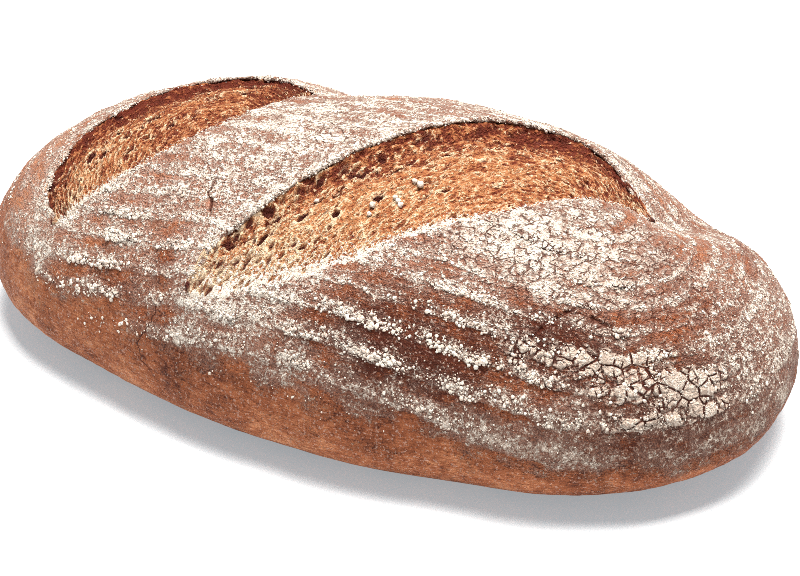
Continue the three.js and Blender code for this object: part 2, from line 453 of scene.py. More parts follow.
def flourPattern(place, flour, plates, rows):
    # place is in millimetres on the plain skin; flour, plates and rows are painted amounts
    look = flourFinish
    x = place.part(0)
    y = place.part(1)
    z = place.part(2)
    wander = (place.noise(look["wanderSize"], 2.0) - 0.5) * look["ringWander"]
    wander = wander + (place.noise(look["jitterSize"], 3.0, 0.6) - 0.5) * look["ringJitter"]
    beyond = (abs(x) - look["ringCentre"]).greatest(0.0)
    around = (beyond * beyond + y * y) ** 0.5
    ringAway = around + (loafShape["crown"] - z) * look["ringSlope"] + wander
    saw = (ringAway / look["ringSpacing"] + look["ringStart"]).fraction()
    worn = place.noise(look["wornSize"], 3.0, 0.6).fade(0.38, 0.56)
    row = saw.fade(*look["ringRise"]) * saw.fade(*look["ringDrop"]) * rows * (0.35 + 0.65 * worn)
    streaks = place.node("ShaderNodeCombineXYZ", None,
                         {0: x / look["streakLength"], 1: ringAway / look["streak"], 2: z / 40})
    streaks = streaks.noise(1.0, 2.0, 0.6)
    blotch = (place.noise(look["blotch"], 3.0, 0.6) - 0.5) * look["blotchAmount"]
    cover = flour + (row * 1.15 - rows * 0.42) * flour.fade(0.05, 0.4) + blotch
    cover = cover + (streaks - 0.5) * look["streakAmount"]
    broken = (place.noise(look["breakSize"], 3.0, 0.65) - 0.5) * look["breakAmount"]
    crest = saw.fade(*look["crestRise"]) * saw.fade(*look["crestDrop"]) * rows * (0.2 + 0.8 * worn)
    thick = (crest * (0.62 + broken) * flour.fade(0.1, 0.5) + plates * (0.86 + broken * 0.42)
             + (cover - 1.0) * 0.3).fade(0.3, 0.7)
    bent = place.warped(4.0, 1.3)
    clumpEdge = bent.cellEdge(look["clump"])
    plateEdge = bent.cellEdge(look["plate"])
    smallEdge = bent.cellEdge(look["smallPlate"])
    plated = plates.fade(0.25, 0.55)
    split = place.noise(9, 2.0).fade(0.45, 0.58)      # some plates are broken into smaller ones
    plateDome = (plateEdge * 2.4).least(1.0) ** 0.55
    smallDome = (smallEdge * 2.4).least(1.0) ** 0.55
    plateDome = plateDome * (1 - split) + plateDome * smallDome * split
    plateGap = plateEdge.fade(0.07, 0.015).greatest(smallEdge.fade(0.10, 0.02) * split)
    domes = clumpEdge.fade(-0.05, 0.35) * (1 - plated) + plateDome * plated
    gaps = clumpEdge.fade(0.10, 0.02) * (1 - plated) + plateGap * plated
    layer = thick * (0.25 + 0.75 * domes) * (0.8 + broken * 0.12) * look["layer"] - gaps * thick * 0.3
    layer = layer + thick * ((place.noise(1.3, 3.0, 0.6) - 0.5) * 0.8 + (place.noise(0.8, 2.0) - 0.5) * 0.3)
    broad = (row * look["ledge"] * flour.fade(0.05, 0.5)
             + (place.noise(16, 2.0) - 0.5) * 1.8 + (place.noise(5, 3.0, 0.6) - 0.5) * 0.9)
    return {"cover": cover, "row": row, "thick": thick, "gaps": gaps, "domes": domes,
            "layer": layer, "broad": broad, "bent": bent}


def painted(place, strokes, start):
    # soft dabs laid on the skin: centre, reach and how much each one adds
    total = np.full(len(place), float(start))
    for (x, y, z), reach, amount in strokes:
        away = np.linalg.norm((place - (x, y, z)) / reach, axis=1)
        total += amount * np.exp(-away ** 2)
    return total


# Where the rings show
rowStrokes = [
    ((-78, -68, 54), (34, 22, 22), 0.75),
    ((55, -74, 60), (48, 22, 18), 0.75),
    ((120, -50, 52), (34, 36, 22), 0.25),
    ((0, 75, 55), (160, 24, 26), 0.35),
    ((140, -14, 58), (22, 40, 26), -0.12),
    ((-116, -58, 44), (20, 18, 22), -0.5),
]
# Where flour lies, more or less
flourStrokes = [
    ((-20, -8, 92), (36, 26, 20), 0.46),      # middle lobe, along its crown
    ((-42, -46, 80), (22, 22, 20), 0.20),
    ((28, 44, 84), (40, 14, 20), 0.25),
    ((84, -24, 82), (40, 20, 20), 0.42),      # broad end, below the cut
    ((66, -36, 82), (30, 12, 16), 0.25),
    ((122, -32, 66), (24, 20, 16), -0.2),
    ((124, -54, 42), (26, 14, 8), 0.25),
    ((94, -56, 64), (14, 7, 7), -0.55),       # bare patch over the thick plates
    ((58, -70, 64), (34, 9, 9), -0.45),
    ((48, -78, 48), (50, 12, 8), -0.25),
    ((-66, -78, 44), (30, 10, 9), -0.3),
    ((-90, -74, 34), (40, 16, 10), -0.2),
    ((-134, -16, 62), (22, 44, 26), -0.4),    # the narrow end is barer
    ((-98, -58, 60), (26, 20, 20), 0.12),
    ((-18, -78, 52), (24, 12, 14), 0.35),     # below the tip of the middle cut
    ((-48, -74, 56), (10, 12, 12), -0.25),
    ((30, -84, 42), (50, 14, 10), 0.15),
    ((-120, 10, 60), (24, 50, 30), 0.15),
    ((142, -8, 54), (14, 30, 24), 0.1),
    ((122, -30, 62), (24, 18, 18), -0.12),
    ((100, -68, 32), (34, 14, 7), 0.22),      # edge of the flour below the plates
    ((112, -60, 38), (24, 12, 8), -0.25),
    ((136, -48, 34), (24, 18, 10), -0.25),
    ((-84, -54, 68), (16, 12, 12), 0.2),
]
# Where the crust is painted darker: partly a darker bake, partly painted shade on the front and the broad
# end; strokes below 0 paint the narrow end lighter, painted light
bakeAndShadeStrokes = [
    ((52, -74, 59), (50, 18, 20), 0.95),
    ((94, -56, 64), (28, 11, 10), 0.9),
    ((130, -46, 50), (26, 26, 18), 0.55),
    ((148, -14, 40), (20, 34, 26), 0.4),
    ((120, -60, 30), (40, 30, 22), 0.3),
    ((-70, -76, 50), (34, 16, 16), 0.3),
    ((-20, -84, 30), (60, 20, 22), 0.15),
    ((-130, -20, 60), (30, 60, 40), -0.2),
    ((-88, -46, 66), (44, 30, 26), -0.25),
]
# Where the dried flour crackled
crackleStrokes = [
    ((70, -36, 82), (40, 18, 20), 0.8),
    ((108, -20, 78), (34, 26, 26), 0.8),
    ((-20, -10, 92), (30, 24, 20), 0.35),
    ((-50, -50, 76), (16, 16, 20), 0.3),
]
# Where the thickest flour split into plates
plateStrokes = [
    ((98, -59, 60), (26, 9, 9), 0.75),
    ((80, -64, 59), (14, 7, 6), 0.45),
    ((118, -51, 54), (22, 14, 12), 0.8),
    ((138, -37, 46), (18, 18, 13), 0.8),
    ((112, -62, 42), (20, 10, 7), 0.4),
    ((112, -36, 72), (26, 14, 10), 0.3),
    ((-76, -63, 64), (22, 8, 7), 0.35),
    ((-74, -74, 44), (18, 8, 6), 0.35),
    ((80, -30, 84), (26, 12, 14), 0.3),
    ((-8, -79, 52), (12, 8, 8), 0.3),
]
# Cracks that run through the crust, point by point
crackShape = {"groove": (1.2, 0.2), "deep": 1.1, "jag": 1.3, "jagSize": 3.0, "steps": 40,
              "reach": 8, "away": 9.0}      # away stands for a place with no crack within reach
crackLines = [
    [(-55, -75, 54), (-50, -77, 51), (-48, -80, 47), (-54, -82, 36), (-54, -83, 31), (-47, -84, 23)],
    [(-42, -42, 83), (-42, -49, 80), (-39, -51, 79), (-37, -58, 76)],
    [(76, -70, 56), (85, -60, 64), (91, -50, 69), (96, -47, 70), (104, -45, 67), (114, -45, 62)],
    [(20, 60, 76), (26, 70, 64), (22, 78, 50), (28, 82, 40)],
    [(-60, 74, 50), (-52, 70, 58), (-40, 72, 57)],
]


def crackField(place):
    # signed distance to the nearest crack, and its strength there
    away = np.full(len(place), crackShape["away"])
    strength = np.zeros(len(place))
    for number, points in enumerate(crackLines):
        line = evenCurve(points, crackShape["steps"])
        jag = [waves(line / crackShape["jagSize"], 60 + number * 3 + axis) for axis in range(3)]
        line = line + np.stack(jag, axis=1) * crackShape["jag"]
        near = np.all(place > line.min(axis=0) - crackShape["reach"], axis=1)
        near &= np.all(place < line.max(axis=0) + crackShape["reach"], axis=1)
        spots = np.nonzero(near)[0]
        best = np.full(len(spots), 1e9)
        signed = np.full(len(spots), crackShape["away"])
        share = np.zeros(len(spots))
        for i, (start, end) in enumerate(zip(line[:-1], line[1:])):
            way = end - start
            along = np.clip((place[spots] - start) @ way / (way @ way), 0, 1)
            apart = place[spots] - start - along[:, None] * way
            distance = np.linalg.norm(apart, axis=1)
            side = np.sign(np.cross(way, apart) @ (start / np.linalg.norm(start)))
            closer = distance < best
            best[closer] = distance[closer]
            signed[closer] = (side * distance)[closer]
            share[closer] = ((i + along) / (len(line) - 1))[closer]
        better = best < np.abs(away[spots])
        away[spots[better]] = signed[better]
        strength[spots[better]] = np.sin(math.pi * np.clip(share[better], 0.02, 0.98)) ** 0.4
    return away, strength


def report(stage):
    print("loaf:", stage, flush=True)


def deselect():
    if bpy.context.object and bpy.context.object.mode != "OBJECT":
        bpy.ops.object.mode_set(mode="OBJECT")
    bpy.ops.object.select_all(action="DESELECT")


def pick(piece):
    deselect()
    piece.select_set(True)
    bpy.context.view_layer.objects.active = piece


def vertexPlaces(mesh):
    places = np.zeros(len(mesh.vertices) * 3, np.float32)
    mesh.vertices.foreach_get("co", places)
    return places.reshape(-1, 3).astype(float)


def setPlaces(mesh, places):
    mesh.vertices.foreach_set("co", (places * mm).astype(np.float32).ravel())
    mesh.update()


def paint(mesh, name, values):
    kind = "FLOAT" if values.ndim == 1 else "FLOAT_VECTOR"
    layer = mesh.attributes.new(name, kind, "POINT")
    layer.data.foreach_set("value" if values.ndim == 1 else "vector", values.astype(np.float32).ravel())


def readPaint(mesh, name):
    values = np.zeros(len(mesh.vertices), np.float32)
    mesh.attributes[name].data.foreach_get("value", values)
    return values


def attribute(start, name, vector=False):
    if start.tree.type == "SHADER":
        return start.node("ShaderNodeAttribute", {"attribute_name": name}, None, 1 if vector else 2)
    kind = "FLOAT_VECTOR" if vector else "FLOAT"
    return start.node("GeometryNodeInputNamedAttribute", {"data_type": kind}, {"Name": name})


def reliefNodes(layered):
    # the flour pattern that colours the crust also raises it; the thick flour is a layer of its own
    tree = bpy.data.node_groups.new("flourLayer" if layered else "crustRelief", "GeometryNodeTree")
    tree.interface.new_socket("Geometry", in_out="INPUT", socket_type="NodeSocketGeometry")
    tree.interface.new_socket("Geometry", in_out="OUTPUT", socket_type="NodeSocketGeometry")
    start = Flow(tree)
    skin = start.node("NodeGroupInput")
    place = attribute(start, "skinPlace", True)
    pattern = flourPattern(place, attribute(start, "flour"), attribute(start, "plates"),
                           attribute(start, "rows"))
    torn = attribute(start, "torn")
    normal = start.node("GeometryNodeInputNormal")
    if layered:
        bare = start.node("FunctionNodeCompare", {"data_type": "FLOAT", "operation": "LESS_THAN"},
                          {0: pattern["thick"] * (1 - torn), 1: flourFinish["layerStart"]})
        skin = start.node("GeometryNodeDeleteGeometry", {"domain": "POINT"},
                          {"Geometry": skin, "Selection": bare})
        height = pattern["layer"] * mm
        hang = pattern["row"] * pattern["thick"] * pattern["domes"] * (-flourFinish["overhang"] * mm)
        sag = start.node("ShaderNodeCombineXYZ", None, {2: hang})
    else:
        base = place.part(2).fade(2.0, 14.0)
        groove = abs(attribute(start, "crackAway")).fade(*crackShape["groove"])
        groove = groove * attribute(start, "crackDepth") * crackShape["deep"]
        height = (pattern["broad"] * (1 - torn) * base - groove
                  + torn * (place.noise(2.2, 3.0) - 0.5) * 1.4) * mm
        sag = (0.0, 0.0, 0.0)
    push = start.node("ShaderNodeVectorMath", {"operation": "SCALE"}, {0: normal, 3: height})
    raised = start.node("GeometryNodeSetPosition", None, {"Geometry": skin, "Offset": push.shifted(sag)})
    for name in ("thick", "row", "cover"):
        raised = start.node("GeometryNodeStoreNamedAttribute", {"data_type": "FLOAT", "domain": "POINT"},
                            {"Geometry": raised, "Name": name, "Value": pattern[name]})
    start.node("NodeGroupOutput", None, {"Geometry": raised})
    return tree


def thinned(piece, faces):
    ratio = faces / sum(len(face.vertices) - 2 for face in piece.data.polygons)
    if ratio < 1:
        thin = piece.modifiers.new("thin", "DECIMATE")
        thin.ratio = ratio
        bpy.ops.object.modifier_apply(modifier="thin")
    bpy.ops.object.shade_smooth()
    report(f"{piece.name} thinned to {len(piece.data.polygons)} faces")


# How the flour ends down the side of the loaf, and how it gathers along the cuts
flourLine = {
    "edge": (29, 45),           # bare below the first height, full cover above the second
    "wiped": (42, 28),          # the crust below it was wiped barer still
    "wipedAmount": 0.35,
    "tilt": 0.04,               # the line comes down slowly along the loaf
    "drop": 9, "dropOver": (35, 95),        # and once more towards the broad end
    "wander": 6, "wanderSize": 26,
    "jitter": 3, "jitterSize": 9,
    "start": 0.55,              # cover before any stroke
    "atLip": 0.42, "lipReach": 6,           # dust along a cut's lip
    "atEdge": 0.15, "edgeReach": 4,         # and along both its edges
}


def makeCrust():
    deselect()
    bpy.ops.mesh.primitive_ico_sphere_add(subdivisions=loafShape["detail"], radius=1)
    crust = bpy.context.object
    crust.name = "crust"
    direction = vertexPlaces(crust.data)
    direction /= np.linalg.norm(direction, axis=1)[:, None]
    skin = loafSkin(direction)
    report("skin shaped")
    place = skin.copy()
    torn = np.zeros(len(skin))
    edge = np.full(len(skin), loafShape["untouched"])
    lipAway = np.full(len(skin), loafShape["untouched"])
    for cut in cuts.values():
        moved, tear, near, lip = openCut(skin, cut)
        place += moved - skin
        torn = np.maximum(torn, tear)
        edge = np.minimum(edge, near)
        lipAway = np.minimum(lipAway, lip)
    report("both cuts opened")
    line = flourLine
    flour = painted(skin, flourStrokes, line["start"])
    uneven = between(-0.5, 0.7, waves(skin / 9, 23))
    flour += (line["atLip"] * np.exp(-(lipAway / line["lipReach"]) ** 2) * (0.35 + 0.65 * uneven)
              + line["atEdge"] * np.exp(-(edge / line["edgeReach"]) ** 2) * uneven)
    height = skin[:, 2] + skin[:, 0] * line["tilt"] + line["drop"] * between(*line["dropOver"], skin[:, 0])
    height += (waves(skin / line["wanderSize"], 21) * line["wander"]
               + waves(skin / line["jitterSize"], 22) * line["jitter"])
    flour = flour * between(*line["edge"], height) - line["wipedAmount"] * between(*line["wiped"], height)
    away, strength = crackField(skin)
    setPlaces(crust.data, place)
    painting = {
        "skinPlace": skin, "flour": flour,
        "plates": painted(skin, plateStrokes, 0), "rows": painted(skin, rowStrokes, 0.3),
        "crackled": painted(skin, crackleStrokes, 0.05), "baked": painted(skin, bakeAndShadeStrokes, 0),
        "torn": torn, "crackAway": away, "crackDepth": strength,
    }
    for name, values in painting.items():
        paint(crust.data, name, values)
    relief = crust.modifiers.new("relief", "NODES")
    relief.node_group = reliefNodes(False)
    bpy.ops.object.modifier_apply(modifier="relief")
    report("crust raised")

    pick(crust)
    bpy.ops.object.duplicate()
    layer = bpy.context.object
    layer.name = "flourLayer"
    thickFlour = layer.modifiers.new("layer", "NODES")
    thickFlour.node_group = reliefNodes(True)
    bpy.ops.object.modifier_apply(modifier="layer")
    shell = layer.modifiers.new("shell", "SOLIDIFY")
    shell.thickness = flourFinish["shell"] * mm
    shell.offset = -1
    bpy.ops.object.modifier_apply(modifier="shell")
    thinned(layer, loafShape["faces"])

    pick(crust)
    thinned(crust, loafShape["faces"])
    return crust, layer


# The crumb that shows in a cut, torn open as the loaf sprang in the oven
crumbShape = {
    "along": 560, "across": 168,    # faces each way
    "steps": 400,                   # places looked up along each edge of the cut
    "pastLip": 1.4,                 # how far the bed runs on under the lip
    "pastFlush": 2.2,               # and under the flush edge
    "fill": 0.66,                   # share of the cut's depth that shows
    "swell": 2.8,
    "swellWidth": 40,               # a narrower cut swells less
    "skirt": 9,                     # the bed's closed body goes this far down
    "pores": 8,                     # small pores for each millimetre along the cut
    "poreSmall": 0.32, "poreLarge": 1.5, "poreSpread": 0.20,
    "holeDepth": 2.6,
}
# Larger holes: where, half length along the cut and half width
crumbHoles = {
    "endCut": [
        (-95, -33, 2.7, 1.5), (-88, -12, 3.1, 1.8), (-76, -17, 2.5, 1.4), (-81, 5, 3.1, 1.6),
        (-97, -20, 2.8, 1.6), (-72, 7, 2.8, 1.5), (-101, -32, 3.2, 1.6), (-84, 20, 3.6, 1.8),
        (-62, 12, 2.5, 1.4), (-90, -25, 2.2, 1.2), (-66, 22, 2.6, 1.3), (-84, -32, 2.0, 1.2),
    ],
    "middleCut": [
        (7, -24, 4.2, 2.3), (17, -20, 3.8, 1.3), (40, 11, 3.6, 2.5), (-14, -59, 3.4, 1.2),
        (18, -36, 2.2, 1.6), (7, -46, 1.6, 2.2), (50, 12, 2.4, 1.5), (28, -4, 2.6, 1.5),
        (19, -15, 2.4, 1.6), (27, -14, 2.2, 1.4), (62, 16, 1.8, 1.3), (-2, -40, 3.6, 1.3),
    ],
}


def makeCrumb(name, cut, seed):
    deselect()
    shape = crumbShape
    coarse = 1
    bpy.ops.mesh.primitive_grid_add(x_subdivisions=shape["along"] // coarse,
                                    y_subdivisions=shape["across"] // coarse, size=1)
    bed = bpy.context.object
    bed.name = name
    bpy.ops.object.mode_set(mode="EDIT")
    bpy.ops.mesh.select_all(action="SELECT")
    bpy.ops.mesh.region_to_loop()
    bpy.ops.mesh.extrude_edges_move(TRANSFORM_OT_translate={"value": (0, 0, -1)})
    bpy.ops.mesh.edge_face_add()
    bpy.ops.mesh.poke()
    bpy.ops.object.mode_set(mode="OBJECT")
    grid = vertexPlaces(bed.data)
    along = np.clip(grid[:, 0] + 0.5, 0, 1)
    across = np.clip(grid[:, 1] + 0.5, 0, 1)
    lower = grid[:, 2] < -0.5

    count = shape["steps"]
    lip = evenCurve(cut["lip"], count)
    flush = evenCurve(cut["flush"], count)
    steps = np.linspace(0, 1, count)
    lipAt = np.stack([np.interp(along, steps, lip[:, i]) for i in (0, 1)], axis=1)
    flushAt = np.stack([np.interp(along, steps, flush[:, i]) for i in (0, 1)], axis=1)
    way = flushAt - lipAt
    width = np.linalg.norm(way, axis=1)
    way /= np.maximum(width, 1e-6)[:, None]
    gape = between(*tearShape["tip"], width)
    under = (cut["undercut"] + shape["pastLip"]) * gape
    off = -under + (width + under + shape["pastFlush"]) * across
    plan = lipAt + way * off[:, None]
    share = off / np.maximum(width, 1e-6)
    inside = np.clip(share, 0, 1)
    shallow = 1 - cut["farRise"] * between(tearShape["farStart"], 1.0, along)
    depth = cut["depth"] * shape["fill"] * np.clip(width / tearShape["fullWidth"], 0, 1) * shallow
    swell = shape["swell"] * np.clip(width / shape["swellWidth"], 0, 1)
    past = np.maximum(off - width, 0)
    nose = np.minimum(cut["nose"], depth * 0.4)
    climb = between(2.2 + 0.09 * width, -under * 0.4, off)   # the crumb climbs to the lip's underside
    drop = depth * (1 - inside) - swell * arch(inside) + 0.5 + 0.9 * past
    drop -= np.maximum(drop - 1.5 * nose, 0) * climb

    run = np.linalg.norm(np.diff(lip, axis=0), axis=1).sum() * along
    lie = np.stack([run, off], axis=1)
    stringy = 0.55 + 0.45 * between(0.7, 0.2, along) + 0.35 * between(0.5, 0.0, inside)
    bend = lie + np.stack([waves(lie / 9, seed + 1), waves(lie / 9, seed + 2)], axis=1) * 2.4
    ridge = 1 - np.abs(waves(bend / (14.0, 2.6), seed + 3)) * 3.0
    fineRidge = 1 - np.abs(waves(bend / (7.0, 1.3), seed + 4)) * 2.6
    hair = 1 - np.abs(waves(bend / (4.0, 0.9), seed + 10)) * 2.2
    strand = (np.clip(ridge, 0, 1) ** 2 * 0.6 + np.clip(fineRidge, 0, 1) ** 2 * 0.4
              + np.clip(hair, 0, 1) ** 2 * 0.2)
    lump = waves(lie / (12, 8), seed + 5) * 0.9 + waves(bend / (4.5, 2.6), seed + 6) * 0.6
    grain = waves(lie / 1.0, seed + 7) * 0.22 + waves(lie / 0.6, seed + 9) * 0.16
    rise = strand * stringy + lump * (0.6 + 0.4 * between(0.5, 0.0, inside)) + grain

    random = np.random.default_rng(seed)
    holes = [(x, y, long, wide, shape["holeDepth"]) for x, y, long, wide in crumbHoles[name]]
    for _ in range(int(run.max() * shape["pores"])):
        at = random.random()
        over = random.uniform(0.02, 0.97)
        i = int(at * (count - 1))
        spot = lip[i] + (flush[i] - lip[i]) * over
        size = min(shape["poreSmall"] + random.exponential(shape["poreSpread"]), shape["poreLarge"])
        size *= 1.15 - 0.45 * over          # smaller towards the flush edge
        holes.append((*spot, size * random.uniform(1.2, 2.8), size, size * random.uniform(0.8, 1.4)))
    shadedHollow = np.zeros(len(grid))
    rim = np.zeros(len(grid))
    slope = np.gradient(lip, axis=0)
    for x, y, long, wide, deep in holes:
        close = (np.abs(plan[:, 0] - x) < long * 2) & (np.abs(plan[:, 1] - y) < long * 2)
        if not close.any():
            continue
        i = np.argmin(np.hypot(lip[:, 0] - x, lip[:, 1] - y))
        heading = math.atan2(slope[i, 1], slope[i, 0]) + random.normal(0, 0.25)
        dx = plan[close, 0] - x
        dy = plan[close, 1] - y
        u = (dx * math.cos(heading) + dy * math.sin(heading)) / long
        v = (-dx * math.sin(heading) + dy * math.cos(heading)) / wide
        q = np.hypot(u, v) * (1 + 0.18 * waves(np.stack([dx, dy], axis=1) / 1.1 + x, seed + 8))
        shadedHollow[close] = np.maximum(shadedHollow[close], between(1.0, 0.45, q) * deep)
        rim[close] = np.maximum(rim[close], np.exp(-((q - 1.18) / 0.24) ** 2) * min(0.34, 0.3 * deep))
    rise = (rise + rim * between(0.2, 0, shadedHollow) - shadedHollow) * between(0.02, 0.12, gape)
    rise *= between(2.2, 0.4, past)
    rise *= np.clip(width / 14, 0.15, 1)
    place = np.column_stack([plan, domeHeight(plan) - drop + rise])
    place[lower, 2] -= shape["skirt"] * gape[lower] + 1.5
    setPlaces(bed.data, place)
    browner = 0.45 * between(0.5, 0.85, along) - 0.45 * between(0.5, 0.15, along)     # towards the far end
    painting = {
        "lie": np.column_stack([lie, inside]), "shadedHollow": shadedHollow, "rim": rim * 3,
        "strand": np.clip(strand * 1.2, 0, 1), "depthIn": np.clip(1 - inside, 0, 1) * gape,
        "edgeIn": np.clip(width - off, -3, 30), "baked": cut["baked"] + browner,
    }
    for key, values in painting.items():
        paint(bed.data, key, values)
    pick(bed)
    bpy.ops.object.mode_set(mode="EDIT")
    bpy.ops.mesh.select_all(action="SELECT")
    bpy.ops.mesh.normals_make_consistent(inside=False)
    bpy.ops.object.mode_set(mode="OBJECT")
    bpy.ops.object.shade_smooth()
    report(f"{name} crumb torn open with {len(holes)} holes")
    return bed


def newMaterial(name):
    material = bpy.data.materials.new(name)
    material.use_nodes = True
    material.node_tree.nodes.clear()
    return material, Flow(material.node_tree)


def finishMaterial(start, colour, rough, height, specular):
    # heights are in millimetres
    bump = start.node("ShaderNodeBump", None, {"Height": height, "Distance": mm, "Strength": 1.0})
    surface = start.node("ShaderNodeBsdfPrincipled", None, {
        "Base Color": colour, "Roughness": rough, "Specular IOR Level": specular, "Normal": bump})
    start.node("ShaderNodeOutputMaterial", None, {"Surface": surface})


crustColours = {
    "dark": (0.060, 0.013, 0.006, 1),
    "warmShade": (0.17, 0.046, 0.018, 1),        # painted shade beside and between the flour, where the crust baked less
    "mid": (0.28, 0.083, 0.032, 1),
    "light": (0.56, 0.24, 0.115, 1),
    "thinFlour": (0.49, 0.322, 0.256, 1),
    "flour": (0.55, 0.42, 0.335, 1),
    "whiteFlour": (0.83, 0.765, 0.67, 1),
    "crack": (0.060, 0.012, 0.006, 1),
}


# Sizes of the crust's marks, in millimetres
crustGrain = {
    "tone": 26, "medium": 3.2, "finer": 0.5,
    "crackled": 10, "broken": 2.6,          # where the crackle comes and goes
    "scratch": 1.6, "pit": 1.7, "speck": 0.95, "fleck": 0.8,
}


def crustMaterial():
    look = crustColours
    grain = crustGrain
    material, start = newMaterial("flouredCrust")
    place = attribute(start, "skinPlace", True)
    flour = attribute(start, "flour")
    plates = attribute(start, "plates")
    torn = attribute(start, "torn")
    pattern = flourPattern(place, flour, plates, attribute(start, "rows"))
    cover = pattern["cover"]
    thick = pattern["thick"]

    fine = place.noise(flourFinish["grain"], 3.0, 0.6)
    finer = place.noise(grain["finer"], 2.0, 0.6)
    medium = place.noise(grain["medium"], 3.0, 0.6)
    crackled = attribute(start, "crackled") + (place.noise(grain["crackled"], 2.0) - 0.5) * 0.9
    film = crackled.fade(0.2, 0.8) * cover.fade(0.3, 0.9)   # dried on, smoother than the dust
    grit = 1 - film * 0.6
    level = cover + film * 0.15 + (medium - 0.5) * 1.9 + ((fine - 0.5) * 2.7 + (finer - 0.5) * 1.6) * grit
    dust = level.fade(0.35, 1.15)
    crackle = pattern["bent"].cellEdge(flourFinish["crackle"])
    fineCrackle = pattern["bent"].cellEdge(flourFinish["fineCrackle"])
    broken = place.noise(grain["broken"], 2.0).fade(0.40, 0.56)
    smallCrack = (crackle.fade(0.07, 0.02) * crackled.fade(0.2, 0.5)).greatest(
        fineCrackle.fade(0.12, 0.04) * crackled.fade(0.45, 0.9) * medium.fade(0.4, 0.6)) * broken
    plateCrack = pattern["gaps"] * thick.fade(0.2, 0.7)
    crackAway = attribute(start, "crackAway")
    crackDepth = attribute(start, "crackDepth")
    crack = abs(crackAway + (fine - 0.5) * 0.9).fade(0.85, 0.3) * crackDepth
    splits = (smallCrack * 0.8).greatest(plateCrack).greatest(crack)
    white = dust.greatest(thick.fade(0.2, 0.6) * (0.75 + 0.5 * finer)) * (1 - splits) * (1 - torn)

    # baked darkens the crust: its darker bake, and painted shade on the front and the broad end
    baked = attribute(start, "baked")
    tone = (place.noise(grain["tone"], 3.0, 0.6) - 0.5) * 1.3 + (medium - 0.5) * 1.1 + 0.5 - baked * 0.7
    scratch = place.stretched((0.25, 1.0, 3.0)).noise(grain["scratch"], 3.0, 0.7)
    dusty = cover.fade(-0.35, 0.35)                         # the bare crust is smoother
    tone = tone + (scratch - 0.5) * 1.1 + ((fine - 0.5) * 1.5 + (finer - 0.5) * 2.2) * (0.3 + dusty * 0.7)
    brown = tone.fade(-0.2, 0.55).mixed(look["dark"], look["mid"])
    brown = tone.fade(0.4, 1.1).mixed(brown, look["light"])
    # small pits, lowered and painted dark: painted shade in the pits
    pit = place.noise(grain["pit"], 2.0, 0.5).fade(0.34, 0.26)
    brown = (pit * (0.35 + dusty * 0.5)).mixed(brown, look["dark"])
    haze = cover.fade(-0.05, 0.65) * (0.58 + (finer - 0.5) * 1.5 + (fine - 0.5) * 1.2) * (1 - baked * 0.7)
    brown = (haze * (1 - torn)).mixed(brown, look["thinFlour"])
    speck = place.noise(grain["speck"], 2.0, 0.5).fade(0.57, 0.68) * 0.55
    brown = (speck * (1 - torn)).mixed(brown, look["thinFlour"])
    # the colour of the painted shade: warm where the crust baked less, dark where it baked more
    shadeColour = baked.fade(0.1, 0.8).mixed(look["warmShade"], look["dark"])
    shadedHollow = level.fade(0.0, 0.3) * level.fade(0.62, 0.4)      # painted shade on the crust beside a patch of flour, which stands above it
    brown = (shadedHollow * (0.3 + baked * 0.3)).mixed(brown, shadeColour)
    # dark flecks among the flour grains: painted shade
    fleck = place.noise(grain["fleck"], 2.0, 0.5).fade(0.41, 0.33)
    fleck = fleck * cover.fade(-0.1, 0.4) * level.fade(1.5, 0.7)
    brown = (fleck * 0.75).mixed(brown, shadeColour)
    # the flour is painted less white on the plates and low on the sides, painted shade where they face away
    # from the light
    powder = (0.25 + thick * 0.15 + (finer - 0.5) * 2.4 + (fine - 0.5) * 1.6 + level.fade(0.6, 1.8) * 0.5
              - plates * 0.3 - place.part(2).fade(50, 30) * 0.4)
    powder = powder.mixed(look["flour"], look["whiteFlour"])
    colour = white.mixed(brown, powder)
    colour = (splits * 0.9).mixed(colour, look["crack"])
    # the torn wall under each lip is painted dark: painted shade under the lip
    colour = (torn * 0.85).mixed(colour, look["dark"])

    height = (white * 0.6 + ((fine - 0.5) * 2.3 + (finer - 0.5) * 1.5) * (0.35 + dusty * 0.65)
              - splits * 0.6 - pit * 0.4)
    rough = 0.62 + white * 0.33
    finishMaterial(start, colour, rough, height, 0.1)
    return material


def objectPlace(start):
    # object coordinates, in millimetres
    return start.node("ShaderNodeTexCoord", None, None, 3).stretched((1 / mm,) * 3)


crumbColours = {
    "deep": (0.115, 0.017, 0.006, 1),
    "shade": (0.30, 0.082, 0.028, 1),
    "gold": (0.45, 0.19, 0.074, 1),
    "pale": (0.76, 0.56, 0.36, 1),
    "poreShade": (0.075, 0.011, 0.005, 1),
    "dust": (0.93, 0.84, 0.72, 1),
}


# Sizes of the crumb's marks, in millimetres
crumbGrain = {
    "broad": 9, "patch": 5, "fine": 1.1, "finer": 0.45,
    "fibre": 0.8, "foam": 2.5, "fineFoam": 1.35,
}


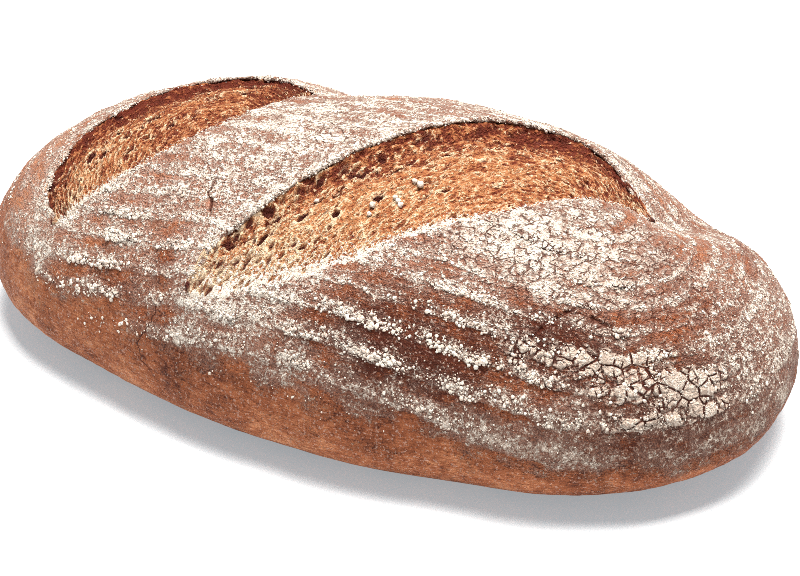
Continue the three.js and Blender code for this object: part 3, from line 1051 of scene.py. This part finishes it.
def crumbMaterial():
    look = crumbColours
    grain = crumbGrain
    material, start = newMaterial("openCrumb")
    place = objectPlace(start)
    lie = attribute(start, "lie", True)
    names = ("shadedHollow", "strand", "rim", "depthIn", "edgeIn", "baked")
    shadedHollow, strand, rim, depthIn, edgeIn, baked = (attribute(start, name) for name in names)
    broad = place.noise(grain["broad"], 3.0, 0.6)
    fine = place.noise(grain["fine"], 3.0, 0.65)
    finer = place.noise(grain["finer"], 2.0, 0.6)
    swirled = lie.warped(7, 4.0).warped(2.0, 0.8)
    fibre = swirled.stretched((0.25, 1.0, 1.0)).noise(grain["fibre"], 3.0, 0.6)
    foam = swirled.stretched((0.5, 1.0, 1.0)).cellEdge(grain["foam"])
    fineFoam = swirled.stretched((0.6, 1.0, 1.0)).cellEdge(grain["fineFoam"])
    patchy = place.noise(grain["patch"], 2.0).fade(0.36, 0.62)
    # the bubbles' thin walls are painted lighter, painted highlight
    web = foam.fade(0.16, 0.03) * patchy + fineFoam.fade(0.18, 0.04) * (1 - patchy * 0.6) * 0.7
    bubble = foam.fade(0.12, 0.42) * patchy + fineFoam.fade(0.14, 0.42) * 0.5      # thin-walled bubbles, painted darker inside: painted shade
    tone = 0.50 + (broad - 0.5) * 0.8 + (fine - 0.5) * 1.2 + (fibre - 0.5) * 1.5 + (strand - 0.35) * 0.8
    # deeper in the cut, under the lip, the crumb is painted darker: painted shade
    tone = tone + web * 0.22 - bubble * 0.34 - depthIn.fade(0.5, 1.0) * 0.5 - baked * 0.5
    colour = tone.fade(-0.1, 0.35).mixed(look["deep"], look["shade"])
    colour = tone.fade(0.15, 0.75).mixed(colour, look["gold"])
    glint = (tone + (finer - 0.5) * 2.0 + rim * 0.8 + (fibre - 0.5) * 0.8 + web * 0.2
             + edgeIn.fade(22, 0) * 0.15)
    colour = glint.fade(0.80, 1.65).mixed(colour, look["pale"])
    # the pores are painted near black inside: painted shade
    colour = shadedHollow.fade(0.12, 1.2).mixed(colour, look["poreShade"])
    dust = ((fine - 0.5) * 3.0 + (finer - 0.5) * 2.0 + edgeIn.fade(6.0, -0.5) * 0.95
            + edgeIn.fade(24, 0) * 0.6)
    dust = (dust - baked * 0.8).fade(0.9, 1.2) * shadedHollow.fade(0.3, 0.1)
    colour = (dust * 0.85).mixed(colour, look["dust"])
    height = ((fine - 0.5) * 1.7 + (finer - 0.5) * 1.1 + (fibre - 0.5) * 1.5 + web * 0.45 - bubble * 0.45
              + dust * 0.15)
    finishMaterial(start, colour, 0.62, height, 0.18)
    return material


floorFinish = {"size": 6.0, "pale": (0.66, 0.66, 0.66, 1), "cloud": (0.63, 0.63, 0.635, 1),
               "glow": (0.80, 0.93, 1.0, 1), "glowStrength": 0.34}   # lit from under, like a light table


def makeFloor():
    deselect()
    bpy.ops.mesh.primitive_plane_add(size=floorFinish["size"], location=(0, 0, 0))
    floor = bpy.context.object
    floor.name = "floor"
    material, start = newMaterial("paleFloor")
    place = start.node("ShaderNodeTexCoord", None, None, 3)
    cloud = place.noise(0.6, 2.0)
    colour = cloud.mixed(floorFinish["pale"], floorFinish["cloud"])
    surface = start.node("ShaderNodeBsdfPrincipled", None, {
        "Base Color": colour, "Roughness": 0.9, "Specular IOR Level": 0.1,
        "Emission Color": floorFinish["glow"], "Emission Strength": floorFinish["glowStrength"]})
    start.node("ShaderNodeOutputMaterial", None, {"Surface": surface})
    floor.data.materials.append(material)


camera = {"place": (0.3241, -0.6280, 0.4646), "aim": (0.0091, -0.0020, 0.0301), "lens": 102.1}


def turnTo(thing, aim):
    thing.rotation_euler = (Vector(aim) - thing.location).to_track_quat("-Z", "Y").to_euler()


def makeCamera():
    deselect()
    bpy.ops.object.camera_add(location=camera["place"])
    view = bpy.context.object
    view.name = "camera"
    turnTo(view, camera["aim"])
    view.data.lens = camera["lens"]
    view.data.sensor_width = 36
    bpy.context.scene.camera = view


lightAim = (0, 0, 0.05)
lights = {
    "key": {"place": (0.08, 0.10, 1.35), "size": 0.8, "power": 60, "colour": (1.0, 0.98, 0.95)},
    "fill": {"place": (0.6, -1.3, 1.0), "size": 1.4, "power": 0.5, "colour": (0.97, 0.98, 1.0)},
}
sky = {"colour": (0.93, 0.96, 1.0, 1), "strength": 0.34}


def makeLights():
    for name, light in lights.items():
        deselect()
        bpy.ops.object.light_add(type="AREA", location=light["place"])
        lamp = bpy.context.object
        lamp.name = name
        lamp.data.size = light["size"]
        lamp.data.energy = light["power"]
        lamp.data.color = light["colour"]
        turnTo(lamp, lightAim)
    world = bpy.data.worlds.new("studio")
    world.use_nodes = True
    world.node_tree.nodes["Background"].inputs[0].default_value = sky["colour"]
    world.node_tree.nodes["Background"].inputs[1].default_value = sky["strength"]
    bpy.context.scene.world = world
    bpy.context.scene.view_settings.view_transform = "Standard"
    bpy.context.scene.cycles.filter_width = 0.9
    bpy.context.scene.cycles.use_denoising = False


# Loose flour: clumps along the rings and fine grains between them
clumpShape = {"count": 4000, "small": 0.3, "large": 0.95, "flat": 0.6, "stray": 0.5, "seed": 41}
grainShape = {"count": 9600, "small": 0.22, "large": 0.48, "flat": 0.7, "stray": 0.5, "seed": 42}


def oneLump(cubeSteps):
    # a rounded cube of a few dozen faces, or a plain 20-sided grain
    deselect()
    if cubeSteps:
        bpy.ops.mesh.primitive_cube_add(size=2)
        bpy.ops.object.mode_set(mode="EDIT")
        bpy.ops.mesh.select_all(action="SELECT")
        bpy.ops.mesh.subdivide(number_cuts=cubeSteps)
        bpy.ops.transform.tosphere(value=0.8)
        bpy.ops.object.mode_set(mode="OBJECT")
    else:
        bpy.ops.mesh.primitive_ico_sphere_add(subdivisions=1, radius=1)
    lump = bpy.context.object
    corners = vertexPlaces(lump.data)
    corners /= np.linalg.norm(corners, axis=1)[:, None] ** 0.8
    faces = np.array([list(face.vertices) for face in lump.data.polygons])
    bpy.data.objects.remove(lump)
    return corners, faces


def lumpPiece(name, places, links):
    mesh = bpy.data.meshes.new(name)
    mesh.from_pydata(places * mm, [], links.tolist())
    mesh.polygons.foreach_set("use_smooth", np.ones(len(links), bool))
    piece = bpy.data.objects.new(name, mesh)
    bpy.context.scene.collection.objects.link(piece)
    return piece


def scatterLumps(name, shape, lump, spots, normals, chance):
    random = np.random.default_rng(shape["seed"])
    count = shape["count"] // 1
    picked = random.choice(len(spots), size=count, p=chance / chance.sum())
    up = normals[picked]
    side = np.cross(up, random.normal(size=(count, 3)))
    side /= np.linalg.norm(side, axis=1)[:, None]
    other = np.cross(up, side)
    size = shape["small"] + (shape["large"] - shape["small"]) * random.random(count) ** 2.5
    size *= 0.7 + 0.3 * np.clip(chance[picked] / chance.max(), 0, 1)
    centre = spots[picked] + side * random.normal(0, shape["stray"], (count, 1))
    centre += other * random.normal(0, shape["stray"], (count, 1))
    corners, faces = lump
    body = corners[None] * random.uniform(0.78, 1.22, (count, len(corners), 1))
    stretch = size[:, None] * random.uniform(0.8, 1.25, (count, 3)) * (1, 1, shape["flat"])
    body = body * stretch[:, None, :]
    body[:, :, 2] += (size * shape["flat"] * 0.3)[:, None]
    place = (centre[:, None, :] + body[:, :, :1] * side[:, None, :] + body[:, :, 1:2] * other[:, None, :]
             + body[:, :, 2:] * up[:, None, :]).reshape(-1, 3)
    links = (faces[None] + (np.arange(count) * len(corners))[:, None, None]).reshape(-1, faces.shape[1])
    report(f"{name}: {count} lumps")
    return lumpPiece(name, place, links)


# Bits of flour paste that fell into the middle cut: where, and how many lumps lie together
gritSpots = [((29, -27), 3), ((24, -35), 1), ((27, -37), 2), ((18, -42), 2), ((-3, -41), 1)]
gritShape = {"small": 0.7, "large": 1.2, "spread": 1.0, "seed": 43}


def makeGrit(lump, bed):
    random = np.random.default_rng(gritShape["seed"])
    surface = vertexPlaces(bed.data) / mm
    corners, faces = lump
    places = []
    for spot, lumps in gritSpots:
        for _ in range(lumps):
            plan = np.array(spot) + random.normal(0, gritShape["spread"] * (lumps > 1), 2)
            close = np.linalg.norm(surface[:, :2] - plan, axis=1) < 1.2
            size = random.uniform(gritShape["small"], gritShape["large"])
            middle = (*plan, surface[close, 2].max() + size * 0.25)
            places.append(corners * size * random.uniform(0.75, 1.25, (len(corners), 1)) + middle)
    links = np.vstack([faces + i * len(corners) for i in range(len(places))])
    return lumpPiece("grit", np.vstack(places), links)


def flourMaterial():
    look = crustColours
    material, start = newMaterial("looseFlour")
    place = objectPlace(start)
    fine = place.noise(0.7, 3.0, 0.65)
    broad = place.noise(3.5, 2.0, 0.5)
    powder = ((fine - 0.5) * 2.2 + (broad - 0.5) * 2.0 + 0.55).mixed(look["flour"], look["whiteFlour"])
    finishMaterial(start, powder, 0.95, (fine - 0.5) * 0.9, 0.2)
    return material


makeCamera()
makeFloor()
makeLights()
report("camera, floor and lights set")

crust, layer = makeCrust()
crustFinish = crustMaterial()
crust.data.materials.append(crustFinish)
layer.data.materials.append(crustFinish)
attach(crust, loafBody)
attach(layer, loafBody)
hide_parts("loaf")

# Loose flour falls where the crust holds flour, and none on the base or in the cuts
skinPlaces = vertexPlaces(crust.data) / mm
skinNormals = np.zeros(len(skinPlaces) * 3, np.float32)
crust.data.vertices.foreach_get("normal", skinNormals)
skinNormals = skinNormals.reshape(-1, 3).astype(float)
whole = (1 - readPaint(crust.data, "torn")).clip(0, 1) * between(26, 40, skinPlaces[:, 2])
thick = readPaint(crust.data, "thick").clip(0, 1)
row = readPaint(crust.data, "row").clip(0, 1)
cover = readPaint(crust.data, "cover").clip(0, 1.4)
plated = readPaint(crust.data, "plates").clip(0, 1)
looseFlour = flourMaterial()
clumpChance = whole * (thick + row ** 2 * 1.2 + 0.03 * cover ** 2) * (1 - 0.85 * plated) * whole
grainChance = whole * (cover.clip(0, 1) ** 2 * 0.5 + row * 0.8 + thick * 0.3) * (1 - 0.6 * plated)
for name, shape, steps, chance in (("flourClumps", clumpShape, 1, clumpChance),
                                   ("flourGrains", grainShape, 0, grainChance)):
    piece = scatterLumps(name, shape, oneLump(steps), skinPlaces, skinNormals, chance)
    piece.data.materials.append(looseFlour)
    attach(piece, loafBody)

crumbFinish = crumbMaterial()
for seed, (name, cut) in enumerate(cuts.items()):
    bed = makeCrumb(name, cut, 100 + 20 * seed)
    bed.data.materials.append(crumbFinish)
    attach(bed, loafBody)
grit = makeGrit(oneLump(1), bed)
grit.data.materials.append(looseFlour)
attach(grit, loafBody)
